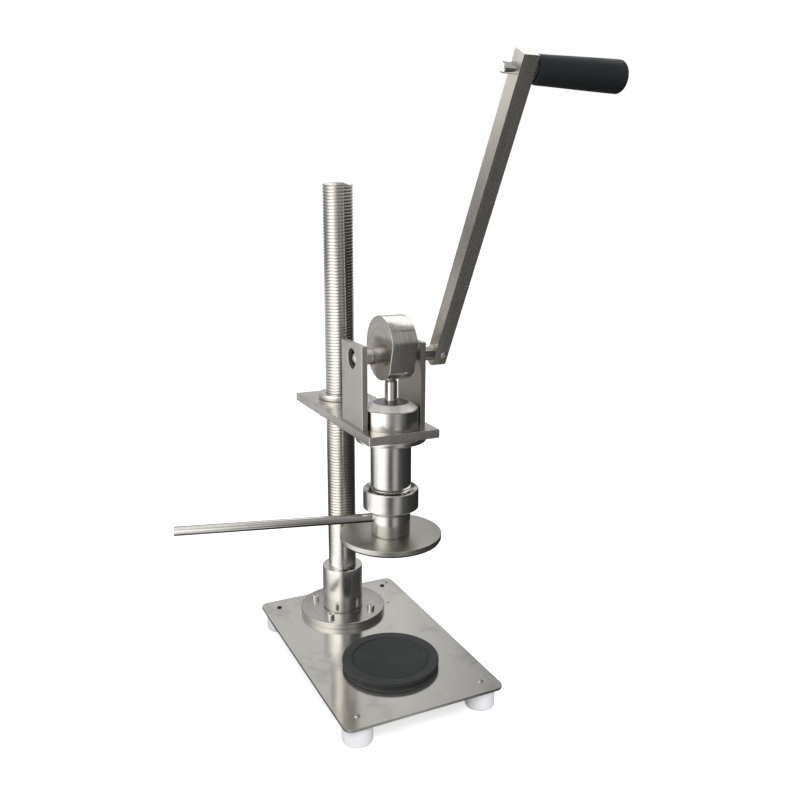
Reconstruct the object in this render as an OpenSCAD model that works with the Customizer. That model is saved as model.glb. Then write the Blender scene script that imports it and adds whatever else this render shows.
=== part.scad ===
// Manual jar capping machine: a cam press that slides on a threaded column.
// Millimetres, +Z up. The origin is the centre of the jar seat on the rubber pad,
// on the axis of the press spindle. +Y points back towards the column.

/* [Base plate and feet] */
// Width of the base plate
base_w = 178; // [150:1:260]
// Depth of the base plate, front to back
base_d = 284; // [260:1:380]
// Thickness of the base plate
base_t = 3; // [2:0.5:8]
// Corner radius of the base plate
base_corner_r = 9; // [3:1:18]
// Distance from the column axis to the back edge of the base plate
column_back = 55.5; // [54:0.5:80]
// Diameter of a foot
foot_d = 31; // [24:1:36]
// Height of a foot
foot_h = 23; // [16:1:40]
// Distance of a foot's centre from both edges of the base plate
foot_edge = 19; // [18.5:0.5:26]
// Chamfer round the bottom of a foot
foot_chamfer = 1.5; // [0.5:0.25:3]
// Diameter of the recess under a foot
foot_recess_d = 14; // [12:1:20]
// Depth of the recess under a foot
foot_recess = 6; // [3:0.5:9]
// Diameter of a foot screw
foot_screw_d = 3.5; // [3:0.5:5]
// Diameter of a foot screw's button head
foot_screw_head_d = 6; // [5.5:0.5:9]
// Height of a foot screw's button head
foot_screw_head_h = 1.2; // [0.8:0.2:2.4]

/* [Jar pad] */
// Outer diameter of the rubber pad
pad_d = 105; // [90:1:130]
// Overall thickness of the rubber pad at its rim
pad_t = 8; // [5:0.5:16]
// Thickness of the pad's upper lip
pad_lip_t = 4.4; // [2:0.2:4.6]
// How far the lower part of the pad stands in from the lip
pad_step = 1.2; // [0.4:0.2:3]
// Height of the groove under the lip
pad_groove_h = 1; // [0.6:0.2:1.6]
// Extra depth of the groove under the lip
pad_groove = 1; // [0.4:0.2:2]
// Diameter of the jar seat recess
seat_d = 82; // [60:1:88]
// Depth of the jar seat recess below the rim
seat_depth = 0.8; // [0.4:0.2:1.8]

/* [Column and flange] */
// Diameter of the column over its thread
column_d = 33; // [28:0.5:36]
// Height of the column above the base plate
column_h = 510; // [420:1:600]
// Chamfer at the top of the column
column_chamfer = 1.5; // [0.5:0.25:3]
// Distance between the column axis and the spindle axis
throat = 137.5; // [125:0.5:170]
// Diameter of the column socket
socket_d = 48; // [44:0.5:56]
// Height of the column socket above the flange
socket_h = 53.5; // [40:0.5:70]
// Chamfer round the top of the column socket
socket_chamfer = 1; // [0.5:0.25:2]
// Diameter of the column flange
flange_d = 102; // [94:1:108]
// Thickness of the column flange
flange_t = 7; // [5:0.5:12]
// Chamfer round the top of the column flange
flange_chamfer = 0.8; // [0.4:0.2:2]
// Diameter of the circle of flange screws
flange_screw_pcd = 74; // [70:1:80]
// Number of flange screws
flange_screw_count = 4; // [3:1:6]
// Diameter of a flange screw
flange_screw_d = 5; // [4:0.5:6]
// Diameter of a flange screw's head
flange_screw_head_d = 8.5; // [7:0.5:10]
// Height of a flange screw's head
flange_screw_head_h = 5; // [4:0.5:6]
// Size across the flats of a flange screw's hexagon socket
flange_screw_hex = 4; // [3:0.5:4.5]

/* [Head plate and nuts] */
// Height of the head plate's underside above the jar seat, as it is set
head_h = 252.7; // [225:0.1:380]
// Width of the head plate
head_w = 77; // [74:0.5:90]
// Thickness of the head plate
head_t = 9; // [6:0.5:12]
// Distance from the column axis to the back edge of the head plate
head_back = 44; // [36:0.5:60]
// Distance from the spindle axis to the front edge of the head plate
head_front = 33; // [30:0.5:60]
// Diameter of the round nuts on the column
nut_d = 50; // [46:0.5:60]
// Height of the lock nut above the head plate
lock_nut_h = 6.5; // [5:0.5:12]
// Height of the support nut below the head plate
support_nut_h = 8; // [6:0.5:14]
// Chamfer on the edges of the nuts
nut_chamfer = 0.8; // [0.4:0.2:1.4]
// Thickness of the washer between the support nut and the head plate
head_washer_t = 2; // [1:0.5:4]
// Diameter of the tommy bar holes in the nuts
tommy_d = 4; // [3:0.5:4.5]
// Depth of the tommy bar holes in the nuts
tommy_depth = 6; // [3:0.5:6]

/* [Cheeks and axle] */
// Clear gap between the two cheeks
cheek_gap = 58.1; // [56.4:0.1:61]
// Thickness of a cheek
cheek_t = 6; // [5:0.5:8]
// Depth of a cheek, front to back
cheek_d = 52; // [44:0.5:60]
// Height of a cheek above the head plate
cheek_h = 84.6; // [80:0.2:96]
// How far the cheeks reach in front of the spindle axis
cheek_front = 8; // [4:0.5:16]
// Diameter of the cam axle
axle_d = 14; // [11:0.5:15]
// Distance of the axle behind the spindle axis
axle_back = 18; // [17:0.5:20]
// Height of the axle above the head plate
axle_h = 69; // [68.5:0.5:72]
// How far the axle's free end lies below the cheek's outer face
axle_recess = 2; // [0:0.25:3]
// Outer diameter of a cheek bush
bush_d = 20.6; // [18:0.2:22]
// How far a cheek bush lies below the cheek's outer face
bush_recess = 2; // [0:0.25:3]
// Diameter of the collars and the spacer on the axle
collar_d = 17; // [16.5:0.5:20]

/* [Cam] */
// Diameter of the cam
cam_d = 64; // [60:0.5:64.5]
// Width of the cam
cam_w = 27; // [20:0.5:34]
// Distance from the axle to the centre of the cam
cam_ecc = 23; // [18:0.25:23.5]
// Height angle of the cam's centre in front of the axle
cam_angle = 31; // [24:0.5:34]
// Distance of the cam's flat from the cam's centre
cam_flat = 28.4; // [26:0.2:31]
// How far the flat faces down from straight ahead
cam_flat_angle = 15; // [8:1:22]
// Width and height of the cam key
key_w = 5; // [3:0.5:5]
// Length of the cam key
key_len = 20; // [12:1:20]

/* [Lever and grip] */
// Width of the lever bar, along the axle
lever_w = 15.5; // [12:0.5:20]
// Thickness of the lever bar, front to back
lever_t = 15.5; // [15:0.5:20]
// Length of the lever from the axle to its top end
lever_len = 308; // [240:1:380]
// Length of the lever below the axle
lever_tail = 14; // [12:0.5:20]
// How far the lever leans forward from upright at rest
lever_lean = 28; // [20:0.5:35]
// Radius of the lever's lower corners
lever_round = 4; // [1:0.5:6]
// Distance from the cheek to the lever
lever_gap = 20.5; // [12:0.5:30]
// Diameter of the lever screw
lever_screw_d = 5; // [3:0.5:6]
// Diameter of the lever screw's head
lever_screw_head_d = 8.5; // [6:0.5:10]
// Height of the lever screw's head above the bar
lever_screw_head_h = 1.6; // [1:0.2:3]
// Offset of the lever screw from the middle of the bar
lever_screw_off = 3; // [0:0.25:3.5]
// Distance of the grip bolt from the lever's top end
grip_end = 14; // [12:0.5:30]
// Length of the grip
grip_len = 91.5; // [70:0.5:120]
// Diameter of the grip at the lever
grip_d_in = 24.6; // [21:0.2:30]
// Diameter of the grip at its free end
grip_d_out = 28.8; // [22:0.2:32]
// Edge radius of the grip's free end
grip_round = 5; // [1:0.5:8]
// Diameter of the grip bolt
grip_bolt_d = 10; // [6:0.5:12]
// Length of the grip bolt that stands out behind the lever
grip_bolt_tail = 13.3; // [6:0.1:20]
// Diameter of the grip bolt's head, sunk in the grip
grip_bolt_head_d = 16; // [14:0.5:17]
// Height of the grip bolt's head
grip_bolt_head_h = 6; // [4:0.5:8]
// Diameter of the washer between the lever and the grip
grip_washer_d = 20; // [16:0.5:22]
// Thickness of the washer between the lever and the grip
grip_washer_t = 2; // [1:0.25:3]

/* [Plunger guide] */
// Diameter of the guide boss on top of the head plate
boss_d = 56; // [52:0.2:56.2]
// Height of the guide boss
boss_h = 25; // [20:0.2:25.4]
// Diameter of the flat top of the guide boss
boss_top_d = 38; // [26:0.5:44]
// Height of the slope round the top of the guide boss
boss_slope_h = 6; // [3:0.2:8]
// Thickness of the roof of the guide boss
boss_roof = 8.5; // [6:0.5:11]
// Diameter of the clamp ring under the head plate
ring_d = 72; // [60:0.5:74]
// Thickness of the clamp ring
ring_t = 5; // [3:0.5:10]
// Chamfer round the bottom of the clamp ring
ring_chamfer = 1; // [0.4:0.2:2]
// Outer diameter of the guide barrel
barrel_d = 42; // [40:0.5:44]
// Bore of the guide barrel
barrel_bore = 30; // [29:0.5:32]
// Length of the guide barrel below the head plate
barrel_drop = 55; // [50:0.5:70]
// Diameter of the gland's lip
gland_lip_d = 40; // [36:0.5:41]
// Thickness of the gland's lip
gland_lip_t = 4; // [3:0.5:8]
// Length of the gland's plug inside the barrel
gland_plug_h = 10; // [6:0.5:14]

/* [Plunger] */
// Diameter of the pin that the cam presses
pin_d = 13; // [11:0.25:14]
// Height of the rounded top of the pin
pin_dome_h = 3; // [1:0.2:4]
// Diameter of the pin's threaded end in the plunger
pin_thread_d = 8; // [6:0.5:10]
// Length of the pin's threaded end in the plunger
pin_thread_h = 9; // [5:0.5:11]
// Height of the plunger's piston
piston_h = 12; // [12:0.5:16]
// Diameter of the plunger's rod
rod_d = 20; // [18:0.5:21]
// Distance from the gland to the plunger's shoulder
shoulder_drop = 3; // [2:0.25:6]
// Diameter of the plunger's spindle below its shoulder
spindle_d = 15; // [13:0.5:16]
// Diameter of the return spring's wire
spring_wire = 3; // [2:0.1:3.2]
// Number of turns of the return spring
spring_turns = 8; // [5:1:9]

/* [Swivel head] */
// Outer diameter of the thrust bearing
race_d = 32; // [30:0.5:36]
// Overall height of the thrust bearing
race_h = 12; // [11:0.5:13]
// Diameter of a bearing ball
ball_d = 6; // [5:0.25:6]
// Number of bearing balls
ball_count = 10; // [6:1:10]
// Outer diameter of the swivel cup
cup_d = 57.7; // [54:0.1:64]
// Height of the cup's straight side
cup_side_h = 20.3; // [19:0.1:24]
// Height of the cup's rim above the plunger's shoulder
cup_rise = 5.1; // [3:0.1:6]
// Chamfer on the outer edge of the cup's rim
cup_chamfer = 1.2; // [0.4:0.2:2]
// Diameter of the cup's mouth
cup_mouth_d = 45; // [42:0.5:48]
// Depth of the cup's mouth
cup_mouth_h = 8.1; // [6:0.1:9]
// Height of the cone under the cup
cup_cone_h = 5; // [3:0.2:12]
// Diameter of the hub
hub_d = 40.8; // [40:0.2:46]
// Height of the hub between the cone and the press disc
hub_h = 23.7; // [20:0.1:28]
// Diameter of the pocket for the retaining washer
pocket_d = 26; // [24:0.5:27]
// Depth of the pocket for the retaining washer
pocket_h = 9.9; // [9:0.1:10.5]
// Thickness of the retaining washer
retainer_t = 2.5; // [2:0.25:3]
// Diameter of the retaining screw
retainer_screw_d = 8; // [5:0.5:8]
// Diameter of the retaining screw's head
retainer_head_d = 13; // [10:0.5:15]
// Height of the retaining screw's low head
retainer_head_h = 5; // [3:0.5:5]
// Diameter of the press disc
disc_d = 106; // [90:1:120]
// Thickness of the press disc
disc_t = 5; // [4:0.5:8]
// Chamfer round the top of the press disc
disc_chamfer = 0.6; // [0.2:0.2:1.2]
// Diameter of the rubber liner under the press disc
liner_d = 104; // [80:1:106]
// Thickness of the rubber liner
liner_t = 2; // [1:0.5:4]
// Number of screws between the press disc and the hub
disc_screw_count = 3; // [2:1:6]
// Diameter of the press disc's screws
disc_screw_d = 4; // [3:0.5:4]
// Diameter of the countersunk heads of the press disc's screws
disc_screw_head_d = 7.5; // [6:0.5:8]
// Diameter of the turning bar
bar_d = 9.5; // [8:0.5:10]
// Distance from the spindle axis to the free end of the turning bar
bar_len = 219; // [160:1:240]
// Height of the turning bar above the press disc
bar_h = 17; // [15.5:0.25:20]
// Direction of the turning bar round the spindle at rest
bar_angle = 165.5; // [150:0.5:200]
// Diameter of the turning bar's threaded end
bar_thread_d = 8; // [5:0.5:8]

/* [Hidden] */
$fn = 96;

steel = [0.72, 0.71, 0.69];
dark_steel = [0.55, 0.54, 0.52];
bronze = [0.72, 0.52, 0.28];
black_rubber = [0.12, 0.13, 0.13];
black_plastic = [0.08, 0.09, 0.10];
white_plastic = [0.93, 0.93, 0.91];

// Radial running clearance between a shaft and its bore
fit = 0.05;
// Gap between flat faces that turn or slide against each other
slip = 0.2;
// Gap between a ball or a cage and its race
ball_gap = 0.3;
// Overrun of every cut past the faces that it opens
over = 1;

// Base and column
plate_top = -(pad_t - seat_depth);
floor_z = plate_top - base_t - foot_h;
base_back = throat + column_back;
base_front = base_back - base_d;
foot_x = base_w / 2 - foot_edge;
foot_ys = [base_front + foot_edge, base_back - foot_edge];
foot_screw_len = foot_h + base_t - foot_recess;
flange_top = plate_top + flange_t;
socket_top = flange_top + socket_h;
column_top = plate_top + column_h;

// Head plate and cheeks
head_top = head_h + head_t;
cheek_outer = cheek_gap / 2 + cheek_t;
cheek_y = -cheek_front;
axle_z = head_top + axle_h;
axle_start = -cheek_outer + axle_recess;
lever_x = cheek_outer + lever_gap;
bush_len = cheek_t - bush_recess;

// Cam: its centre is in front of the axle and above it
cam_y = axle_back - cam_ecc * cos(cam_angle);
cam_z = axle_z + cam_ecc * sin(cam_angle);
pin_top = cam_z - cam_d / 2 - slip;

// Guide and plunger
boss_top = head_top + boss_h;
roof_z = boss_top - boss_roof;
barrel_end = head_h - barrel_drop;
gland_top = barrel_end + gland_plug_h;
gland_end = barrel_end - gland_lip_t;
piston_top = roof_z - slip;
piston_end = piston_top - piston_h;
shoulder_z = gland_end - shoulder_drop;
spring_r = (barrel_bore + rod_d) / 4;

// Swivel head, from the shoulder down
race_floor = shoulder_z - race_h;
race_t = (race_h - ball_d + ball_gap) / 2 + ball_d / 5;
ball_z = shoulder_z - race_h / 2;
ball_r = (race_d + spindle_d) / 4;
race_groove_r = ball_d / 2 + ball_gap;
cup_rim = shoulder_z + cup_rise;
cone_top = cup_rim - cup_side_h;
cone_end = cone_top - cup_cone_h;
hub_end = cone_end - hub_h;
disc_end = hub_end - disc_t;
liner_end = disc_end - liner_t;
pocket_top = hub_end + pocket_h;
spindle_end = pocket_top - slip;
bar_z = hub_end + bar_h;
bar_seat_r = hub_d / 2 - bar_d / 3;
bar_hole_r = (spindle_d + pocket_d) / 4;
disc_screw_r = (pocket_d + hub_d) / 4;
disc_screw_top = pocket_top;

// Lever and grip, in the lever's own frame: x along the axle, z along the bar
grip_at = lever_len - grip_end;
grip_x = lever_x + lever_w + grip_washer_t;
grip_bore_d = grip_bolt_d + 2 * fit;
grip_head_x = grip_x + grip_len - grip_bolt_head_h - grip_round;

// Shapes that repeat

module tube(d_out, d_in, z_low, z_high) {
    difference() {
        translate([0, 0, z_low])
            cylinder(d = d_out, h = z_high - z_low);
        translate([0, 0, z_low - over])
            cylinder(d = d_in, h = z_high - z_low + 2 * over);
    }
}

// A rod along +X, from one x to another
module rod_x(d, x_low, x_high) {
    translate([x_low, 0, 0])
        rotate([0, 90, 0])
            cylinder(d = d, h = x_high - x_low);
}

// A solid of revolution whose outline is a list of [radius, height] points
module turned(outline) {
    rotate_extrude()
        polygon(outline);
}

module at_column() {
    translate([0, throat, 0])
        children();
}

module at_axle() {
    translate([0, axle_back, axle_z])
        children();
}

// The lever's frame: z runs along the bar, the grip side is +X
module at_lever() {
    at_axle()
        rotate([lever_lean, 0, 0])
            children();
}

module at_each_foot() {
    for (x = [-foot_x, foot_x], y = foot_ys)
        translate([x, y, 0])
            children();
}

module at_flange_screws() {
    for (i = [0 : flange_screw_count - 1])
        rotate([0, 0, (i + 0.5) * 360 / flange_screw_count])
            translate([flange_screw_pcd / 2, 0, 0])
                children();
}

module at_disc_screws() {
    for (i = [0 : disc_screw_count - 1])
        rotate([0, 0, bar_angle + (i + 0.5) * 360 / disc_screw_count])
            translate([disc_screw_r, 0, 0])
                children();
}

module rounded_rectangle(w, d, r) {
    square([w - 2 * r, d], center = true);
    square([w, d - 2 * r], center = true);
    for (x = [-1, 1], y = [-1, 1])
        translate([x * (w / 2 - r), y * (d / 2 - r)])
            circle(r);
}

// The same solid, laid along +X
module turned_x(outline) {
    rotate([0, 90, 0])
        turned(outline);
}

// A screw with a domed head and a hexagon socket, its head seated at z = 0
module button_screw(d, len, head_d, head_h) {
    r = head_d / 2;
    difference() {
        turned([[0, -len], [d / 2, -len], [d / 2, 0], [r, 0], [r, head_h * 0.35], [r * 0.76, head_h * 0.85],
                [r * 0.4, head_h], [0, head_h]]);
        translate([0, 0, head_h / 3])
            cylinder(d = d / 2, h = head_h, $fn = 6);
    }
}

// Base

module base_plate() {
    color(steel)
        difference() {
            translate([0, (base_front + base_back) / 2, plate_top - base_t])
                linear_extrude(base_t)
                    rounded_rectangle(base_w, base_d, base_corner_r);
            at_each_foot()
                translate([0, 0, plate_top - base_t - over])
                    cylinder(d = foot_screw_d + 2 * fit, h = base_t + 2 * over);
            at_column()
                at_flange_screws()
                    translate([0, 0, plate_top - base_t - over])
                        cylinder(d = flange_screw_d + 2 * fit, h = base_t + 2 * over);
        }
}

// Four white feet, each with a recess underneath
module feet() {
    color(white_plastic)
        at_each_foot()
            difference() {
                translate([0, 0, floor_z])
                    turned([[0, 0], [foot_d / 2 - foot_chamfer, 0], [foot_d / 2, foot_chamfer],
                            [foot_d / 2, foot_h], [0, foot_h]]);
                translate([0, 0, floor_z - over])
                    cylinder(d = foot_recess_d, h = foot_recess + over);
                translate([0, 0, floor_z])
                    cylinder(d = foot_screw_d + 2 * fit, h = foot_h + over);
            }
}

module foot_screws() {
    color(dark_steel)
        at_each_foot()
            translate([0, 0, plate_top])
                button_screw(foot_screw_d, foot_screw_len, foot_screw_head_d, foot_screw_head_h);
}

// The lip overhangs a groove, and the jar stands in the recess
module jar_pad() {
    r_lip = pad_d / 2;
    r_low = r_lip - pad_step;
    z_rim = seat_depth;
    z_lip = z_rim - pad_lip_t;
    color(black_rubber)
        turned([[0, plate_top], [r_low, plate_top], [r_low, z_lip - pad_groove_h],
                [r_low - pad_groove, z_lip - pad_groove_h / 2], [r_low, z_lip], [r_lip, z_lip],
                [r_lip, z_rim - pad_step / 2], [r_lip - pad_step / 2, z_rim],
                [seat_d / 2 + seat_depth, z_rim], [seat_d / 2, 0], [0, 0]]);
}

module column_flange() {
    r = flange_d / 2;
    color(steel)
        at_column()
            difference() {
                turned([[0, plate_top], [r, plate_top], [r, flange_top - flange_chamfer],
                        [r - flange_chamfer, flange_top], [0, flange_top]]);
                translate([0, 0, plate_top - over])
                    cylinder(d = column_d + 2 * fit, h = flange_t + 2 * over);
                at_flange_screws()
                    translate([0, 0, plate_top - over])
                        cylinder(d = flange_screw_d + 2 * fit, h = flange_t + 2 * over);
            }
}

module flange_screws() {
    r = flange_screw_d / 2;
    r_head = flange_screw_head_d / 2;
    z_low = plate_top - base_t;
    z_head = flange_top + flange_screw_head_h;
    edge = r_head / 12;
    color(steel)
        at_column()
            at_flange_screws()
                difference() {
                    turned([[0, z_low], [r, z_low], [r, flange_top], [r_head, flange_top], [r_head, z_head - edge],
                            [r_head - edge, z_head], [0, z_head]]);
                    translate([0, 0, flange_top + flange_screw_head_h / 2])
                        cylinder(d = flange_screw_hex / cos(30), h = flange_screw_head_h, $fn = 6);
                }
}

module column_socket() {
    r = socket_d / 2;
    color(steel)
        at_column()
            difference() {
                turned([[0, flange_top], [r, flange_top], [r, socket_top - socket_chamfer],
                        [r - socket_chamfer, socket_top], [0, socket_top]]);
                translate([0, 0, flange_top - over])
                    cylinder(d = column_d + 2 * fit, h = socket_h + 2 * over);
            }
}

module column() {
    r = column_d / 2;
    color(steel)
        at_column()
            turned([[0, plate_top], [r, plate_top], [r, column_top - column_chamfer],
                    [r - column_chamfer, column_top], [0, column_top]]);
}

// Head carrier

// A round nut on the column with two tommy bar holes, its lower face at z = 0
module round_nut(h) {
    r = nut_d / 2;
    difference() {
        turned([[0, 0], [r - nut_chamfer, 0], [r, nut_chamfer], [r, h - nut_chamfer],
                [r - nut_chamfer, h], [0, h]]);
        translate([0, 0, -over])
            cylinder(d = column_d + 2 * fit, h = h + 2 * over);
        for (a = [100, 280])
            rotate([0, 0, a])
                translate([0, 0, h / 2])
                    rod_x(tommy_d, r - tommy_depth, r + over);
    }
}

module head_washer() {
    color(steel)
        at_column()
            tube(nut_d, column_d + 2 * fit, head_h - slip - head_washer_t, head_h - slip);
}

module support_nut() {
    color(steel)
        at_column()
            translate([0, 0, head_h - 2 * slip - head_washer_t - support_nut_h])
                round_nut(support_nut_h);
}

module lock_nut() {
    color(steel)
        at_column()
            translate([0, 0, head_top + slip])
                round_nut(lock_nut_h);
}

module head_plate() {
    y_front = -head_front;
    y_back = throat + head_back;
    color(steel)
        difference() {
            translate([-head_w / 2, y_front, head_h])
                cube([head_w, y_back - y_front, head_t]);
            translate([0, 0, head_h - over])
                cylinder(d = barrel_d + 2 * fit, h = head_t + 2 * over);
            at_column()
                translate([0, 0, head_h - over])
                    cylinder(d = column_d + 2 * fit, h = head_t + 2 * over);
        }
}

// One cheek; side is -1 for the left one and 1 for the right one
module cheek(side) {
    x_mid = side * (cheek_gap + cheek_t) / 2;
    color(steel)
        difference() {
            translate([x_mid - cheek_t / 2, cheek_y, head_top])
                cube([cheek_t, cheek_d, cheek_h]);
            at_axle()
                rod_x(bush_d, x_mid - cheek_t / 2 - over, x_mid + cheek_t / 2 + over);
        }
}

// A bush lies flush with the inner face of its cheek
module cheek_bush(side) {
    x_in = side * cheek_gap / 2;
    x_out = side * (cheek_gap / 2 + bush_len);
    color(bronze)
        at_axle()
            difference() {
                rod_x(bush_d, min(x_in, x_out), max(x_in, x_out));
                rod_x(axle_d + 2 * fit, min(x_in, x_out) - over, max(x_in, x_out) + over);
            }
}

// Plunger guide

module guide_boss() {
    r = boss_d / 2;
    color(steel)
        difference() {
            turned([[0, head_top], [r, head_top], [r, boss_top - boss_slope_h],
                    [boss_top_d / 2, boss_top], [0, boss_top]]);
            translate([0, 0, head_top - over])
                cylinder(d = barrel_d + 2 * fit, h = roof_z - head_top + over);
            translate([0, 0, head_top])
                cylinder(d = pin_d + 2 * fit, h = boss_h + over);
        }
}

module clamp_ring() {
    r = ring_d / 2;
    z_low = head_h - ring_t;
    color(steel)
        difference() {
            turned([[0, z_low], [r - ring_chamfer, z_low], [r, z_low + ring_chamfer], [r, head_h], [0, head_h]]);
            translate([0, 0, z_low - over])
                cylinder(d = barrel_d + 2 * fit, h = ring_t + 2 * over);
        }
}

module guide_barrel() {
    color(steel)
        tube(barrel_d, barrel_bore, barrel_end, roof_z);
}

module barrel_gland() {
    r_lip = gland_lip_d / 2;
    r_plug = barrel_bore / 2 - fit;
    color(steel)
        difference() {
            turned([[0, gland_end], [r_lip, gland_end], [r_lip, barrel_end], [r_plug, barrel_end],
                    [r_plug, gland_top], [0, gland_top]]);
            translate([0, 0, gland_end - over])
                cylinder(d = rod_d + 2 * fit, h = gland_lip_t + gland_plug_h + 2 * over);
        }
}

// Plunger

module press_pin() {
    r = pin_d / 2;
    r_thread = pin_thread_d / 2;
    z_low = piston_top - pin_thread_h;
    r_flat = r / 3;
    round_top = [for (a = [0 : 15 : 90])
                    [r_flat + (r - r_flat) * cos(a), pin_top - pin_dome_h * (1 - sin(a))]];
    color(steel)
        turned(concat([[0, z_low], [r_thread, z_low], [r_thread, piston_top], [r, piston_top]],
                      round_top, [[0, pin_top]]));
}

module plunger() {
    r_piston = barrel_bore / 2 - fit;
    color(steel)
        difference() {
            turned([[0, spindle_end], [spindle_d / 2, spindle_end], [spindle_d / 2, shoulder_z],
                    [rod_d / 2, shoulder_z], [rod_d / 2, piston_end], [r_piston, piston_end],
                    [r_piston, piston_top], [0, piston_top]]);
            translate([0, 0, piston_top - pin_thread_h - over])
                cylinder(d = pin_thread_d + 2 * fit, h = pin_thread_h + 2 * over);
            translate([0, 0, spindle_end - over])
                cylinder(d = retainer_screw_d + 2 * fit, h = hub_h + over);
        }
}

// Points round the spring's wire at one place along its helix
function wire_ring(turn, r_coil, z, sides) =
    [for (i = [0 : sides - 1])
        let (a = 360 * i / sides, r = r_coil + spring_wire / 2 * cos(a))
            [r * cos(360 * turn), r * sin(360 * turn), z + spring_wire / 2 * sin(a)]];

// The coil spring stands on the gland and carries the piston
module return_spring() {
    steps = 20;
    sides = 6;
    z_low = gland_top + slip + spring_wire / 2;
    rise = piston_end - gland_top - 2 * slip - spring_wire;
    rings = spring_turns * steps;
    points = [for (k = [0 : rings])
                 each wire_ring(k / steps, spring_r, z_low + rise * k / rings, sides)];
    walls = [for (k = [0 : rings - 1], i = [0 : sides - 1])
                let (a = k * sides + i, b = k * sides + (i + 1) % sides)
                    [a, a + sides, b + sides, b]];
    first = [for (i = [0 : sides - 1]) i];
    last = [for (i = [sides - 1 : -1 : 0]) rings * sides + i];
    color(dark_steel)
        polyhedron(points = points, faces = concat(walls, [first], [last]));
}

// Thrust bearing

module race_groove() {
    rotate_extrude()
        translate([ball_r, ball_z])
            circle(race_groove_r);
}

module upper_race() {
    color(steel)
        difference() {
            tube(race_d - 4 * fit, spindle_d + 2 * fit, shoulder_z - race_t, shoulder_z);
            race_groove();
        }
}

module lower_race() {
    color(steel)
        difference() {
            tube(race_d, spindle_d + 10 * fit, race_floor, race_floor + race_t);
            race_groove();
        }
}

module bearing_cage() {
    cage_t = ball_d / 4;
    hole_d = ball_d + ball_gap;
    wall = ball_d / 10;
    color(bronze)
        difference() {
            tube(2 * ball_r + hole_d + 2 * wall, 2 * ball_r - hole_d - 2 * wall,
                 ball_z - cage_t / 2, ball_z + cage_t / 2);
            for (i = [0 : ball_count - 1])
                rotate([0, 0, 360 * i / ball_count])
                    translate([ball_r, 0, ball_z - ball_d])
                        cylinder(d = hole_d, h = 2 * ball_d);
        }
}

module bearing_balls() {
    color(steel)
        for (i = [0 : ball_count - 1])
            rotate([0, 0, 360 * i / ball_count])
                translate([ball_r, 0, ball_z])
                    sphere(d = ball_d, $fn = 48);
}

// Swivel head

module swivel_cup() {
    r_cup = cup_d / 2;
    r_hub = hub_d / 2;
    r_mouth = cup_mouth_d / 2;
    z_mouth = cup_rim - cup_mouth_h;
    color(steel)
        difference() {
            turned([[0, hub_end], [r_hub, hub_end], [r_hub, cone_end], [r_cup, cone_top],
                    [r_cup, cup_rim - cup_chamfer], [r_cup - cup_chamfer, cup_rim],
                    [r_mouth + cup_chamfer, cup_rim], [r_mouth, cup_rim - cup_chamfer],
                    [r_mouth, z_mouth], [0, z_mouth]]);
            translate([0, 0, race_floor])
                cylinder(d = race_d + 2 * fit, h = race_h);
            translate([0, 0, hub_end - over])
                cylinder(d = spindle_d + 2 * fit, h = cup_rim - hub_end);
            translate([0, 0, hub_end - over])
                cylinder(d = pocket_d, h = pocket_h + over);
            at_disc_screws()
                translate([0, 0, hub_end - over])
                    cylinder(d = disc_screw_d + 2 * fit, h = disc_screw_top - hub_end + 2 * over);
            rotate([0, 0, bar_angle])
                translate([0, 0, bar_z]) {
                    rod_x(bar_thread_d + 2 * fit, bar_hole_r - fit, r_cup);
                    rod_x(bar_d + 2 * fit, bar_seat_r - fit, r_cup);
                }
        }
}

module retaining_washer() {
    color(steel)
        tube(pocket_d - 4 * slip, retainer_screw_d + 2 * fit, spindle_end - retainer_t, spindle_end);
}

module retaining_screw() {
    r = retainer_screw_d / 2;
    r_head = retainer_head_d / 2;
    z_seat = spindle_end - retainer_t;
    z_head = z_seat - retainer_head_h;
    z_top = spindle_end + hub_h - slip;
    color(dark_steel)
        difference() {
            turned([[0, z_head], [r_head, z_head], [r_head, z_seat], [r, z_seat], [r, z_top], [0, z_top]]);
            translate([0, 0, z_head - over])
                cylinder(r = r, h = retainer_head_h / 2 + over, $fn = 6);
        }
}

module press_disc() {
    r = disc_d / 2;
    color(steel)
        difference() {
            turned([[0, disc_end], [r, disc_end], [r, hub_end - disc_chamfer],
                    [r - disc_chamfer, hub_end], [0, hub_end]]);
            at_disc_screws() {
                translate([0, 0, disc_end - over])
                    cylinder(d = disc_screw_d + 2 * fit, h = disc_t + 2 * over);
                translate([0, 0, disc_end])
                    cylinder(d1 = disc_screw_head_d + 2 * fit, d2 = disc_screw_d + 2 * fit, h = disc_t / 2);
            }
        }
}

module disc_screws() {
    r = disc_screw_d / 2;
    color(dark_steel)
        at_disc_screws()
            turned([[0, disc_end], [disc_screw_head_d / 2, disc_end], [r, disc_end + disc_t / 2],
                    [r, disc_screw_top], [0, disc_screw_top]]);
}

module press_liner() {
    color(black_rubber)
        translate([0, 0, liner_end])
            cylinder(d = liner_d, h = liner_t);
}

module turning_bar() {
    chamfer = bar_d / 10;
    r = bar_d / 2;
    r_thread = bar_thread_d / 2;
    color(steel)
        rotate([0, 0, bar_angle])
            translate([0, 0, bar_z])
                turned_x([[0, bar_hole_r], [r_thread, bar_hole_r], [r_thread, bar_seat_r], [r, bar_seat_r],
                          [r, bar_len - chamfer], [r - chamfer, bar_len], [0, bar_len]]);
}

// Cam and axle

// The space that the key takes up, half in the axle and half in the cam
module key_space(w, len) {
    rotate([-cam_angle, 0, 0])
        translate([-len / 2, -axle_d / 2 - w / 2, -w / 2])
            cube([len, w, w]);
}

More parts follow.
